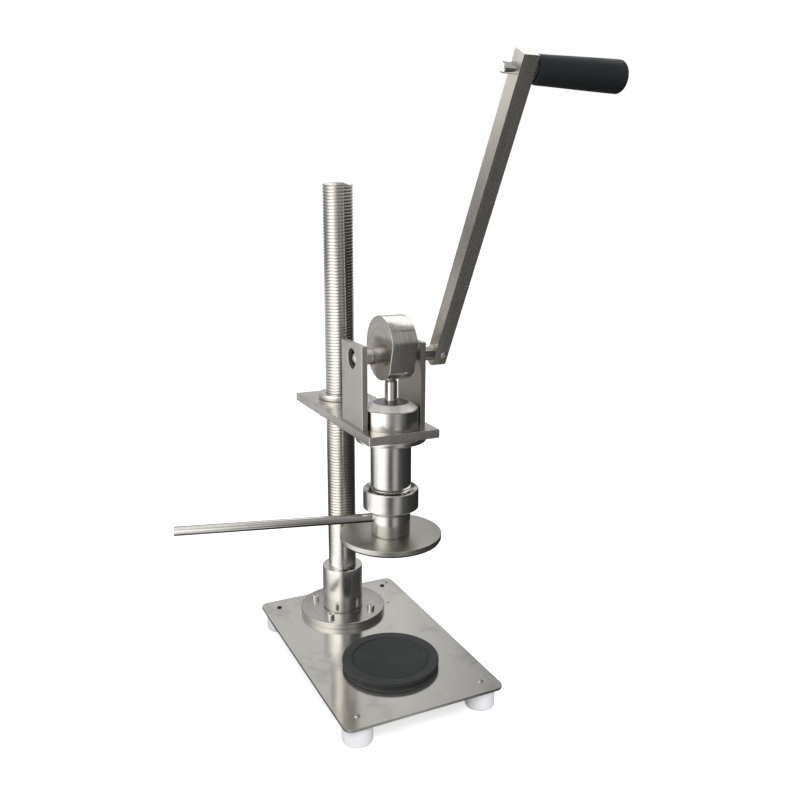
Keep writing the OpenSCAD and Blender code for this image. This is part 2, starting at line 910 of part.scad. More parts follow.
module cam_axle() {
    r = axle_d / 2;
    edge = axle_d / 8;
    color(steel)
        at_axle()
            difference() {
                turned_x([[0, axle_start], [r - edge, axle_start], [r, axle_start + edge], [r, lever_x + lever_w],
                          [0, lever_x + lever_w]]);
                key_space(key_w + 2 * fit, key_len + 2 * fit);
                rotate([lever_lean, 0, 0])
                    lever_screw_hole(lever_screw_d + 2 * fit);
            }
}

module press_cam() {
    color(steel)
        at_axle()
            difference() {
                translate([0, cam_y - axle_back, cam_z - axle_z])
                    rotate([90, 0, 90])
                        linear_extrude(cam_w, center = true)
                            difference() {
                                circle(d = cam_d, $fn = 180);
                                rotate(180 + cam_flat_angle)
                                    translate([cam_flat, -cam_d])
                                        square([cam_d, 2 * cam_d]);
                            }
                rod_x(axle_d + 2 * fit, -cam_w, cam_w);
                key_space(key_w + 2 * fit, cam_w + 2 * over);
            }
}

module cam_key() {
    color(dark_steel)
        at_axle()
            key_space(key_w, key_len);
}

module collar(x_low, x_high) {
    color(steel)
        at_axle()
            difference() {
                rod_x(collar_d, x_low, x_high);
                rod_x(axle_d + 2 * fit, x_low - over, x_high + over);
            }
}

module left_collar() {
    collar(-cheek_gap / 2 + slip, -cam_w / 2);
}

module right_collar() {
    collar(cam_w / 2, cheek_gap / 2 - slip);
}

module lever_spacer() {
    collar(cheek_outer + slip, lever_x);
}

// Lever and grip

// A hole or shank through the front of the bar into the axle
module lever_screw_hole(d) {
    translate([lever_x + lever_w / 2 + lever_screw_off, -lever_t / 2 - over, 0])
        rotate([-90, 0, 0])
            cylinder(d = d, h = lever_t / 2 + over + axle_d / 4);
}

module lever_arm() {
    color(steel)
        at_lever()
            difference() {
                translate([lever_x, 0, 0])
                    rotate([90, 0, 90])
                        linear_extrude(lever_w) {
                            translate([-lever_t / 2, -lever_tail + lever_round])
                                square([lever_t, lever_len + lever_tail - lever_round]);
                            translate([-lever_t / 2 + lever_round, -lever_tail])
                                square([lever_t - 2 * lever_round, lever_round]);
                            for (y = [-1, 1])
                                translate([y * (lever_t / 2 - lever_round), -lever_tail + lever_round])
                                    circle(lever_round);
                        }
                rod_x(axle_d + 2 * fit, lever_x - over, lever_x + lever_w + over);
                translate([0, 0, grip_at])
                    rod_x(grip_bolt_d + 2 * fit, lever_x - over, lever_x + lever_w + over);
                lever_screw_hole(lever_screw_d + 2 * fit);
            }
}

module lever_screw() {
    color(steel)
        at_lever()
            translate([lever_x + lever_w / 2 + lever_screw_off, -lever_t / 2, 0])
                rotate([90, 0, 0])
                    button_screw(lever_screw_d, lever_t / 2 + axle_d / 4 - slip, lever_screw_head_d,
                                 lever_screw_head_h);
}

module grip_bolt() {
    r = grip_bolt_d / 2;
    r_head = grip_bolt_head_d / 2;
    chamfer = grip_bolt_d / 8;
    tail_x = lever_x - grip_bolt_tail;
    end_x = grip_head_x + grip_bolt_head_h;
    color(steel)
        at_lever()
            translate([0, 0, grip_at])
                turned_x([[0, tail_x], [r - chamfer, tail_x], [r, tail_x + chamfer], [r, grip_head_x],
                          [r_head, grip_head_x], [r_head, end_x], [0, end_x]]);
}

module grip_washer() {
    color(steel)
        at_lever()
            translate([0, 0, grip_at])
                difference() {
                    rod_x(grip_washer_d, lever_x + lever_w, grip_x - slip);
                    rod_x(grip_bore_d, lever_x + lever_w - over, grip_x + over);
                }
}

// The grip turns on the bolt, whose head is sunk in its free end
module hand_grip() {
    r_in = grip_d_in / 2;
    r_out = grip_d_out / 2;
    edge = grip_round / 3;
    round_end = [for (a = [0 : 15 : 90])
                    [r_out - grip_round + grip_round * cos(a),
                     grip_len - grip_round + grip_round * sin(a)]];
    color(black_plastic)
        at_lever()
            translate([grip_x, 0, grip_at])
                rotate([0, 90, 0])
                    difference() {
                        turned(concat([[0, 0], [r_in - edge, 0], [r_in, edge]], round_end, [[0, grip_len]]));
                        translate([0, 0, -over])
                            cylinder(d = grip_bore_d, h = grip_len);
                        translate([0, 0, grip_head_x - grip_x - slip])
                            cylinder(d = grip_bolt_head_d + 4 * slip, h = grip_len);
                    }
}

base_plate();
feet();
foot_screws();
jar_pad();
column_flange();
flange_screws();
column_socket();
column();
head_washer();
support_nut();
lock_nut();
head_plate();
cheek(-1);  // left_cheek
cheek(1);  // right_cheek
cheek_bush(-1);  // left_bush
cheek_bush(1);  // right_bush
guide_boss();
clamp_ring();
guide_barrel();
barrel_gland();
press_pin();
plunger();
return_spring();
upper_race();
bearing_cage();
bearing_balls();
lower_race();
swivel_cup();
retaining_washer();
retaining_screw();
press_disc();
disc_screws();
press_liner();
turning_bar();
cam_axle();
press_cam();
cam_key();
left_collar();
right_collar();
lever_spacer();
lever_arm();
lever_screw();
grip_bolt();
grip_washer();
hand_grip();
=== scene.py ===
"""Looks of the jar capping machine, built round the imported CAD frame. Lengths are written in millimetres."""

import math

import bpy
from mathutils import Matrix, Vector

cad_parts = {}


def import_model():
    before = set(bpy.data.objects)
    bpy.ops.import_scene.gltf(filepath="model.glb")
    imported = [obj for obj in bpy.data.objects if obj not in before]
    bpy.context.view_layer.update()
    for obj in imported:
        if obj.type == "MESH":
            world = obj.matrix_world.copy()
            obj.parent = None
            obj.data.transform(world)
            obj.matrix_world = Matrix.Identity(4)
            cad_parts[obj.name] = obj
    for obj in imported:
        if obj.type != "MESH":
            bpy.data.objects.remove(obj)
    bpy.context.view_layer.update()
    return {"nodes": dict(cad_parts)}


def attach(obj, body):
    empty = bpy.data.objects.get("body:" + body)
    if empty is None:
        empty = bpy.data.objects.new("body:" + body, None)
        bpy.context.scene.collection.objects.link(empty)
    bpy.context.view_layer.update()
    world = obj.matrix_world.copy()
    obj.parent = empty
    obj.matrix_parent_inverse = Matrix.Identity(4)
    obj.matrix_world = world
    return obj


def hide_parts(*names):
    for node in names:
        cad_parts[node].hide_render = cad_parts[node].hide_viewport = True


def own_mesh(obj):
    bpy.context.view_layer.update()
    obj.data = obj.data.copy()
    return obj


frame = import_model()
MM = 0.001

# Sizes of the part, as in its source
PLATE_TOP = -7.2
FLOOR = -33.2
THROAT = 137.5
PLATE_BACK, PLATE_LEN = THROAT + 55.5, 284
FOOT_X, FOOT_INSET = 70, 19
COLUMN_R = 16.5
COLUMN_TOP = 502.8
HEAD_LOW, HEAD_TOP = 252.7, 261.7
AXLE_Y, AXLE_Z = 18.0, 330.7
CHEEK_IN, CHEEK_OUT = 29.05, 35.05
LEVER_X, LEVER_W = 55.55, 15.5
LEAN = math.radians(28.0)
GRIP_AT = 294.0
GRIP_X, GRIP_LEN = 73.05, 91.5
HUB_END, CONE_END, CONE_TOP, CUP_RIM = 146.8, 170.5, 175.5, 195.8
BAR_Z, BAR_ANGLE, BAR_LEN = 163.8, math.radians(165.5), 219.0
CAM_R, CAM_FLAT, CAM_HALF = 32.0, 28.4, 13.5
CAM_OFFSET, CAM_ANGLE = 23.0, math.radians(31)
CAM_Y = AXLE_Y - CAM_OFFSET * math.cos(CAM_ANGLE)
CAM_Z = AXLE_Z + CAM_OFFSET * math.sin(CAM_ANGLE)


# Materials

class Graph:
    """A material's node tree, with a short way to add nodes and link them."""

    def __init__(self, name):
        self.mat = bpy.data.materials.new(name)
        self.mat.use_nodes = True
        self.tree = self.mat.node_tree
        self.tree.nodes.clear()
        self.out = self.tree.nodes.new("ShaderNodeOutputMaterial")

    def add(self, kind, props=None, **inputs):
        node = self.tree.nodes.new(kind)
        for key, value in (props or {}).items():
            setattr(node, key, value)
        for key, value in inputs.items():
            by_place = key[0] == "i" and key[1:].isdigit()
            self.put(node.inputs[int(key[1:]) if by_place else key.replace("_", " ")], value)
        return node

    def put(self, socket, value):
        if isinstance(value, bpy.types.NodeSocket):
            self.tree.links.new(value, socket)
        else:
            socket.default_value = value

    def math(self, operation, a, b=0.0):
        return self.add("ShaderNodeMath", {"operation": operation}, i0=a, i1=b).outputs[0]

    def coords(self, scale=(1, 1, 1)):
        """Object coordinates, scaled per axis."""
        co = self.add("ShaderNodeTexCoord").outputs["Object"]
        return self.add("ShaderNodeMapping", Vector=co, Scale=scale).outputs["Vector"]

    def turned_coords(self, along, around):
        """Radius and height times along, and the angle times around, so that noise runs in rings."""
        co = self.add("ShaderNodeTexCoord").outputs["Object"]
        xyz = self.add("ShaderNodeSeparateXYZ", Vector=co)
        r2 = self.math("ADD", self.math("MULTIPLY", xyz.outputs[0], xyz.outputs[0]),
                       self.math("MULTIPLY", xyz.outputs[1], xyz.outputs[1]))
        radius = self.math("MULTIPLY", self.math("SQRT", r2), along)
        angle = self.math("MULTIPLY", self.math("ARCTAN2", xyz.outputs[1], xyz.outputs[0]), around)
        height = self.math("MULTIPLY", xyz.outputs[2], along)
        return self.add("ShaderNodeCombineXYZ", X=radius, Y=height, Z=angle).outputs[0]

    def reach(self, x=0.0, y=0.0):
        """Distance in the object's XY plane from a point given in mm."""
        co = self.add("ShaderNodeTexCoord").outputs["Object"]
        moved = self.add("ShaderNodeMapping", Vector=co, Location=(-x * MM, -y * MM, 0),
                         Scale=(1, 1, 0)).outputs["Vector"]
        return self.add("ShaderNodeVectorMath", {"operation": "LENGTH"}, i0=moved).outputs["Value"]

    def noise(self, vector, scale, detail=3.0, rough=0.55):
        return self.add("ShaderNodeTexNoise", Vector=vector, Scale=scale, Detail=detail,
                        Roughness=rough).outputs["Fac"]

    def ramp(self, value, low, high, to_low=0.0, to_high=1.0):
        node = self.add("ShaderNodeMapRange", {"clamp": True, "interpolation_type": "SMOOTHSTEP"},
                        Value=value)
        for key, number in (("From Min", low), ("From Max", high), ("To Min", to_low), ("To Max", to_high)):
            node.inputs[key].default_value = number
        return node.outputs["Result"]

    def mix(self, factor, a, b):
        node = self.add("ShaderNodeMix", {"data_type": "RGBA"})
        self.put(node.inputs[0], factor)
        self.put(node.inputs[6], (*a, 1) if isinstance(a, tuple) else a)
        self.put(node.inputs[7], (*b, 1) if isinstance(b, tuple) else b)
        return node.outputs[2]

    def bump(self, height, distance):
        return self.add("ShaderNodeBump", Height=height, Distance=distance * MM,
                        Strength=1.0).outputs["Normal"]

    def surface(self, **inputs):
        shader = self.add("ShaderNodeBsdfPrincipled")
        for key, value in inputs.items():
            self.put(shader.inputs[key.replace("_", " ")], value)
        self.tree.links.new(shader.outputs[0], self.out.inputs["Surface"])
        return self.mat


def steel(name, base, rough, grain, grain_size=(1, 1, 1), depth=0.003, spread=0.08, stain=0.0,
          stain_scale=28.0, contrast=0.07, film=0.0, dark_spots=(), painted_shade=None):
    """Stainless steel. grain is "turned" for rings round local Z, or "brushed" for lines along the axis whose
    grain_size is small. depth is its relief in mm, spread and contrast its range in roughness and colour.
    film is the share that scatters like paint. dark_spots are round spots darkened at (x, y, radius) in mm.
    painted_shade is (from, to, share): painted shade, the colour darkens to that share between two local X in
    mm."""
    g = Graph(name)
    if grain == "turned":
        line = g.turned_coords(1.0, 0.0015)
        lines = g.noise(line, 2600, 4.0, 0.6)
        bands = g.noise(line, 420, 3.0, 0.5)
    else:
        lines = g.noise(g.coords(grain_size), 1500, 4.0, 0.6)
        bands = g.noise(g.coords(grain_size), 240, 3.0, 0.5)
    cloud = g.noise(g.coords(), stain_scale, 4.0, 0.6)
    dark = tuple(c * (1 - contrast) for c in base)
    light = tuple(min(1.0, c * (1 + contrast)) for c in base)
    colour = g.mix(g.ramp(bands, 0.30, 0.70), dark, light)
    if stain:
        patch = g.ramp(cloud, 0.50, 0.70)
        colour = g.mix(g.math("MULTIPLY", patch, stain), colour, tuple(c * 0.6 for c in base))
    for x, y, radius in dark_spots:
        colour = g.mix(g.ramp(g.reach(x, y), radius * 0.7 * MM, radius * 1.2 * MM, 1.0, 0.0), colour,
                       (0.035, 0.028, 0.022))
    # Painted shade: the colour darkens towards one side along local X, standing in for shade and dark
    # reflection.
    if painted_shade:
        x_at = g.add("ShaderNodeSeparateXYZ",
                     Vector=g.add("ShaderNodeTexCoord").outputs["Object"]).outputs[0]
        colour = g.mix(g.ramp(x_at, painted_shade[0] * MM, painted_shade[1] * MM), colour, tuple(c * painted_shade[2] for c in base))
    smudge = g.ramp(cloud, 0.35, 0.70, rough - spread * 0.4, rough + spread * 0.6)
    fine = g.ramp(lines, 0.30, 0.70, -spread * 0.25, spread * 0.25)
    roughness = g.math("ADD", smudge, fine)
    normal = g.bump(lines, depth)
    return g.surface(Base_Color=colour, Metallic=1.0 - film, Roughness=roughness, Normal=normal)


def rubber(name, base, rough, scale=900.0, depth=0.03, lip=None):
    """Rubber, paler outside the radius lip: partly wear, partly a painted highlight on the raised lip."""
    g = Graph(name)
    fine = g.noise(g.coords(), scale, 5.0, 0.6)
    cloud = g.noise(g.coords(), 35, 3.0, 0.6)
    colour = g.mix(g.ramp(cloud, 0.35, 0.68), base, tuple(c * 1.7 + 0.004 for c in base))
    # Painted highlight on the raised lip, partly wear.
    if lip:
        colour = g.mix(g.ramp(g.reach(), (lip - 0.6) * MM, (lip + 0.6) * MM), colour,
                       tuple(c * 1.5 + 0.007 for c in base))
    roughness = g.ramp(cloud, 0.3, 0.7, rough - 0.06, rough + 0.08)
    return g.surface(Base_Color=colour, Metallic=0.0, Roughness=roughness, Normal=g.bump(fine, depth))


def plastic(name, base, rough, scale=500.0, depth=0.01, tint=0.94):
    g = Graph(name)
    fine = g.noise(g.coords(), scale, 3.0, 0.5)
    cloud = g.noise(g.coords(), 60, 3.0, 0.6)
    colour = g.mix(g.ramp(cloud, 0.35, 0.68), base, tuple(c * tint for c in base))
    roughness = g.ramp(cloud, 0.3, 0.7, rough - 0.04, rough + 0.05)
    return g.surface(Base_Color=colour, Metallic=0.0, Roughness=roughness, Normal=g.bump(fine, depth))


SATIN = (0.63, 0.60, 0.555)
BRIGHT = (0.71, 0.69, 0.655)
MATERIALS = {
    "base_sheet": steel("base_sheet", (0.74, 0.72, 0.675), 0.14, "brushed", (1, 0.25, 1), 0.0003, 0.07,
                        0.6, 15, 0.015, 0.05,
                        [(79.1, 180, 1.7), (57.2, 128.4, 1.5)]),
    "satin_plate": steel("satin_plate", SATIN, 0.24, "brushed", (1, 0.06, 1), 0.0006, 0.08, 0.35, 40,
                         0.06, 0.06),
    "cheek_steel": steel("cheek_steel", (0.60, 0.565, 0.52), 0.31, "brushed", (1, 1, 0.05), 0.0005, 0.06,
                         0.35, 30, 0.05, 0.02),
    "lever_steel": steel("lever_steel", (0.50, 0.47, 0.425), 0.27, "brushed", (1, 0.10, 0.03), 0.0002,
                         0.04, 0.3, 40, 0.08, 0.11),
    "cam_steel": steel("cam_steel", (0.54, 0.515, 0.475), 0.18, "turned", depth=0.0006, spread=0.06,
                       stain=0.5, stain_scale=60.0,
                       contrast=0.08, film=0.06),
    "turned_steel": steel("turned_steel", BRIGHT, 0.15, "turned", depth=0.0005, spread=0.05, contrast=0.03),
    "socket_steel": steel("socket_steel", BRIGHT, 0.20, "turned", depth=0.0005, spread=0.05, contrast=0.03),
    # A paler copy of the turned steel: painted highlight on the boss's chamfer.
    "crown_painted_highlight": steel("crown_painted_highlight", (0.80, 0.78, 0.74), 0.38, "turned", depth=0.0005, spread=0.05,
                         contrast=0.03, film=0.3),
    # A dark copy of the turned steel: painted dark reflection on the boss's flat top.
    "crown_face_painted_reflection": steel("crown_face_painted_reflection", (0.20, 0.195, 0.19), 0.34, "turned", depth=0.0008, spread=0.06,
                        film=0.1),
    "disc_steel": steel("disc_steel", (0.50, 0.485, 0.435), 0.33, "turned", depth=0.0006, spread=0.06,
                        contrast=0.04),
    "flange_steel": steel("flange_steel", (0.60, 0.585, 0.545), 0.24, "turned", depth=0.001, spread=0.06,
                          stain=0.3, contrast=0.05),
    "thread_steel": steel("thread_steel", (0.68, 0.65, 0.61), 0.14, "turned", depth=0.0004, spread=0.05,
                          contrast=0.04),
    "polished_steel": steel("polished_steel", (0.80, 0.78, 0.75), 0.12, "turned", depth=0.0004,
                            spread=0.05, contrast=0.03),
    # Painted dark reflection on the bar's underside: the colour darkens from local X 0.7 to 1.9 mm, which
    # points down.
    "bar_steel": steel("bar_steel", (0.57, 0.55, 0.525), 0.13, "turned", depth=0.0004, spread=0.05,
                       contrast=0.05,
                       painted_shade=(0.7, 1.9, 0.07)),
    # The right cheek's steel with painted shade on its inner face, darker below x 29.6 mm.
    "cheek_inner": steel("cheek_inner", (0.60, 0.565, 0.52), 0.31, "brushed", (1, 1, 0.05), 0.0005, 0.06,
                         0.35, 30, 0.05, 0.02,
                         painted_shade=(29.6, 29.2, 0.55)),
    "screw_steel": steel("screw_steel", (0.82, 0.81, 0.78), 0.30, "brushed", (1, 1, 1), 0.001, 0.08),
    "foot_screw_steel": steel("foot_screw_steel", (0.62, 0.61, 0.58), 0.30, "brushed", (1, 1, 1), 0.001,
                              0.08, dark_spots=[
        (-70, 174, 6), (70, 174, 6)]),
    "dark_steel": steel("dark_steel", (0.10, 0.095, 0.09), 0.40, "brushed", (1, 1, 1), 0.001, 0.08),
    "spring_wire": steel("spring_wire", (0.30, 0.30, 0.29), 0.35, "brushed", (1, 1, 1), 0.002, 0.08),
    # Near black: painted shade in the recessed axle bushes.
    "bronze_painted_shade": steel("bronze_painted_shade", (0.06, 0.046, 0.034), 0.46, "brushed", (1, 1, 1), 0.002, 0.08),
    "pad_rubber": rubber("pad_rubber", (0.013, 0.015, 0.0155), 0.60, lip=41.6),
    "liner_rubber": rubber("liner_rubber", (0.016, 0.016, 0.016), 0.60),
    "grip_black": plastic("grip_black", (0.0045, 0.0065, 0.0085), 0.62, 420, 0.015, 1.5),
    "foot_white": plastic("foot_white", (0.95, 0.955, 0.985), 0.40, 300, 0.01, 0.96),
}


# Shapes

def soften(points, closed):
    """Rounds the corners of an outline of (r, z, fillet) points. Without a fillet the corner stays sharp."""
    result, count = [], len(points)
    for i, (r, z, *rest) in enumerate(points):
        radius = rest[0] if rest else 0.0
        here = Vector((r, z))
        if radius <= 0 or (not closed and i in (0, count - 1)):
            result.append(here)
            continue
        before = Vector(points[i - 1][:2]) - here
        after = Vector(points[(i + 1) % count][:2]) - here
        angle = before.angle(after)
        reach = min(radius / math.tan(angle / 2), before.length * 0.49, after.length * 0.49)
        a, b = here + before.normalized() * reach, here + after.normalized() * reach
        steps = 4
        for k in range(steps + 1):
            t = k / steps
            result.append(a * (1 - t) ** 2 + here * 2 * t * (1 - t) + b * t ** 2)
    return result


def make(name, verts, faces, material, matrix=None, smooth=32):
    mesh = bpy.data.meshes.new(name)
    mesh.from_pydata([Vector(v) * MM for v in verts], [], faces)
    mesh.validate()
    mesh.polygons.foreach_set("use_smooth", [True] * len(mesh.polygons))
    mesh.set_sharp_from_angle(angle=math.radians(smooth))
    obj = bpy.data.objects.new(name, mesh)
    bpy.context.scene.collection.objects.link(obj)
    obj.data.materials.append(MATERIALS[material])
    if matrix is not None:
        matrix = matrix.copy()
        matrix.translation = matrix.translation * MM
        obj.matrix_world = matrix
    return obj


def lathe(name, outline, material, matrix=None, closed=False, segments=144):
    """A solid of revolution round local Z. An open outline ends on the axis or is a bare surface."""
    points = soften(outline, closed)
    verts, rows = [], []
    for p in points:
        if p.x < 1e-6:
            rows.append([len(verts)])
            verts.append((0, 0, p.y))
        else:
            rows.append(list(range(len(verts), len(verts) + segments)))
            for i in range(segments):
                a = 2 * math.pi * i / segments
                verts.append((p.x * math.cos(a), p.x * math.sin(a), p.y))
    faces = []
    pairs = list(zip(rows, rows[1:])) + ([(rows[-1], rows[0])] if closed else [])
    for low, high in pairs:
        for i in range(segments):
            j = (i + 1) % segments
            if len(low) == 1 and len(high) == 1:
                continue
            if len(low) == 1:
                faces.append((low[0], high[j], high[i]))
            elif len(high) == 1:
                faces.append((low[i], low[j], high[0]))
            else:
                faces.append((low[i], low[j], high[j], high[i]))
    return make(name, verts, faces, material, matrix)


def at(x, y, z):
    return Matrix.Translation((x, y, z))


ALONG_X = Matrix.Rotation(math.pi / 2, 4, "Y")
SPINDLE = at(0, 0, 0)
COLUMN = at(0, THROAT, 0)
AXLE = at(0, AXLE_Y, AXLE_Z) @ ALONG_X
LEVER = at(0, AXLE_Y, AXLE_Z) @ Matrix.Rotation(LEAN, 4, "X")
GRIP = Matrix.Translation(LEVER @ Vector((0, 0, GRIP_AT))) @ ALONG_X


def fit(obj, body, slot, *nodes):
    """The piece moves with a body and stands for CAD nodes, which it hides. slot is not used."""
    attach(obj, body)
    if nodes:
        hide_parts(*nodes)
    return obj


def dress(node, material, bevel=0.4, segments=3, merge_flats=False):
    """A CAD node keeps its shape and gets a material and soft edges."""
    obj = frame["nodes"][node]
    obj.data.materials.clear()
    obj.data.materials.append(MATERIALS[material])
    obj.data.polygons.foreach_set("use_smooth", [True] * len(obj.data.polygons))
    weld = obj.modifiers.new("weld", "WELD")
    weld.merge_threshold = 0.002 * MM
    if merge_flats:
        flats = obj.modifiers.new("flats", "DECIMATE")
        flats.decimate_type = "DISSOLVE"
        flats.angle_limit = math.radians(0.5)
    if bevel:
        edge = obj.modifiers.new("edge", "BEVEL")
        edge.width = bevel * MM
        edge.segments = segments
        edge.limit_method = "ANGLE"
        edge.angle_limit = math.radians(40)
        edge.use_clamp_overlap = True
    normals = obj.modifiers.new("normals", "WEIGHTED_NORMAL")
    normals.keep_sharp = True
    normals.weight = 80


# Base

dress("base_plate", "base_sheet", 0.5)
dress("foot_screws", "foot_screw_steel", 0.12, 2)
dress("flange_screws", "screw_steel", 0.25, 2)

foot_rows = (PLATE_BACK - PLATE_LEN + FOOT_INSET, PLATE_BACK - FOOT_INSET)
foot_outline = [(0, FLOOR + 6), (7, FLOOR + 6, 0.3), (7, FLOOR, 0.6), (15.5, FLOOR, 2.6),
                (15.5, PLATE_TOP - 3, 0.5),
                (0, PLATE_TOP - 3)]
for i, (x, y) in enumerate([(x, y) for y in foot_rows for x in (-FOOT_X, FOOT_X)]):
    foot = lathe(f"foot_{i + 1}", foot_outline, "foot_white", at(x, y, 0), segments=96)
    fit(foot, "base", "foot_plastic", "feet")

pad_outline = [
    (0, PLATE_TOP), (51.3, PLATE_TOP, 0.5), (51.3, -4.6, 0.5), (50.3, -4.1, 0.3), (51.3, -3.6, 0.2),
    (52.5, -3.6, 0.6),
    (52.5, 0.8, 0.9), (42.4, 0.8, 0.3), (41.6, -0.5, 0.3), (40.6, -0.5, 0.3), (40.0, 0, 0.2),
    (33.5, 0, 0.2),
    (33.2, 0.16, 0.2), (32.6, 0.16, 0.2), (32.3, 0, 0.2), (18.4, 0, 0.2), (18.2, 0.12, 0.2),
    (17.8, 0.12, 0.2),
    (17.6, 0, 0.2), (0, 0)]
fit(lathe("pad", pad_outline, "pad_rubber", SPINDLE), "base", "black_rubber", "jar_pad")

flange_outline = [(COLUMN_R, PLATE_TOP), (51, PLATE_TOP, 0.3), (51, -0.2, 0.7), (COLUMN_R, -0.2)]
fit(lathe("flange", flange_outline, "flange_steel", COLUMN), "base", "turned_steel", "column_flange")
socket_outline = [(COLUMN_R + 0.1, -0.1), (22.6, -0.1), (22.6, 0.9, 0.2), (24, 1.6, 0.4), (24, 53.3, 0.8),
                  (COLUMN_R + 0.1, 53.3, 0.3)]
fit(lathe("socket", socket_outline, "socket_steel", COLUMN, closed=True), "base", "turned_steel",
    "column_socket")

PITCH = 3.5
THREAD_LOW, THREAD_DEPTH = 111.8, 1.2


def threaded_column():
    """The smooth foot of the column, and above it a helical thread with a flat crest and root."""
    sides = 72
    crest, root = COLUMN_R - 0.02, COLUMN_R - THREAD_DEPTH
    profile = [(0.0, root), (0.06, root), (0.22, crest), (0.26, crest + 0.02), (0.84, crest + 0.02),
               (0.88, crest)]
    top = COLUMN_TOP - 1.5
    turns = int((top - THREAD_LOW) / PITCH) + 2
    verts, rows = [], []
    for k in range(turns):
        for offset, radius in profile:
            row = []
            for i in range(sides + 1):
                a = 2 * math.pi * i / sides
                z = THREAD_LOW - PITCH + PITCH * (k + offset + i / sides)
                fade = min(1.0, max(0.0, (z - THREAD_LOW) / 6.0))
                z = min(max(z, THREAD_LOW - 0.5), COLUMN_TOP)
                r = min(COLUMN_R + (radius - COLUMN_R) * fade, COLUMN_R - max(0.0, z - top))
                row.append(len(verts))
                verts.append((r * math.cos(a), r * math.sin(a), z))
            rows.append(row)
    faces = [(a[i], a[i + 1], b[i + 1], b[i]) for a, b in zip(rows, rows[1:]) for i in range(sides)]
    faces = [f for f in faces if verts[f[0]][2] < verts[f[2]][2]]
    return make("column_thread", verts, faces, "thread_steel", COLUMN, smooth=50)


fit(threaded_column(), "base", "turned_steel", "column")
stem = lathe("column_stem",
             [(0, PLATE_TOP), (COLUMN_R, PLATE_TOP), (COLUMN_R, THREAD_LOW + 0.5),
              (COLUMN_R - 1.4, THREAD_LOW + 4)],
             "thread_steel", COLUMN)
fit(stem, "base", "turned_steel", "column")
cap = lathe("column_top", [(COLUMN_R - 1.5, COLUMN_TOP), (1.6, COLUMN_TOP, 0.2), (0, COLUMN_TOP - 1.0)],
            "disc_steel", COLUMN,
            segments=72)
fit(cap, "base", "turned_steel", "column")

# Head

dress("head_plate", "satin_plate", 0.8, merge_flats=True)
dress("left_cheek", "cheek_steel", 0.5)
# The right cheek's inner face carries painted shade.
dress("right_cheek", "cheek_inner", 0.5)
# The bushes sit recessed in the cheek holes and are painted near black as shade.
for side in ("left", "right"):
    dress(f"{side}_bush", "bronze_painted_shade", 0.2, 1)
for node, low, high, body in (("lock_nut", HEAD_TOP + 0.2, HEAD_TOP + 6.7, "upper_nut"),
                              ("support_nut", HEAD_LOW - 10.4, HEAD_LOW - 2.4, "lower_nut")):
    r_in = COLUMN_R + 0.05
    outline = [(r_in, low), (25, low, 0.9), (25, high, 0.9), (r_in + 0.8, high, 0.2), (r_in, high - 0.9)]
    fit(lathe(f"{node}_ring", outline, "turned_steel", COLUMN, closed=True), body, "turned_steel", node)
dress("head_washer", "screw_steel", 0.2)

boss_outline = [(6.6, HEAD_TOP + 4), (21.1, HEAD_TOP + 4), (21.1, HEAD_TOP), (28, HEAD_TOP, 0.3),
                (28, 280.7, 0.8),
                (26.8, 281.3), (6.6, 281.3)]
crown_outline = [(6.6, 281.3), (26.95, 281.3), (19, 286.7, 0.8), (18.2, 286.7), (18.2, 286.2), (6.6, 286.2)]
crown_face_outline = [(6.6, 286.1), (18.1, 286.1), (18.1, 286.7, 0.2), (7.4, 286.7, 0.2), (6.6, 286.3)]
# The boss's chamfer carries a painted highlight, its flat top a painted dark reflection.
fit(lathe("boss_crown", crown_outline, "crown_painted_highlight", SPINDLE, closed=True), "head", "turned_steel",
    "guide_boss")
fit(lathe("boss_face", crown_face_outline, "crown_face_painted_reflection", SPINDLE, closed=True), "head", "turned_steel",
    "guide_boss")
fit(lathe("boss", boss_outline, "turned_steel", SPINDLE, closed=True), "head", "turned_steel", "guide_boss")
ring_outline = [(21.05, 247.7), (36, 247.7, 1.2), (36, 252.7, 0.3), (21.05, 252.7)]
fit(lathe("ring", ring_outline, "turned_steel", SPINDLE, closed=True), "head", "turned_steel", "clamp_ring")
barrel_outline = [(15, 197.7), (21, 197.7, 0.7), (21, 262, 0), (15, 262)]
fit(lathe("barrel", barrel_outline, "turned_steel", SPINDLE, closed=True), "head", "turned_steel",
    "guide_barrel")
gland_outline = [(10.05, 193.7), (19.4, 193.7, 0.6), (20.6, 195.2, 0.6), (20.6, 196.9, 0.3),
                 (19.6, 197.2), (10.05, 197.2)]
fit(lathe("gland", gland_outline, "turned_steel", SPINDLE, closed=True), "head", "turned_steel",
    "barrel_gland")

# Plunger and swivel head

pin_outline = [(0, 278), (6.5, 278), (6.5, 307.3, 2.0), (5.6, 309.0, 1.0), (4.0, 310.0, 0.8),
               (2.2, 310.3, 0.5), (0, 310.3)]
fit(lathe("pin", pin_outline, "polished_steel", SPINDLE, segments=96), "plunger", "polished_steel",
    "press_pin")
dress("plunger", "polished_steel", 0)


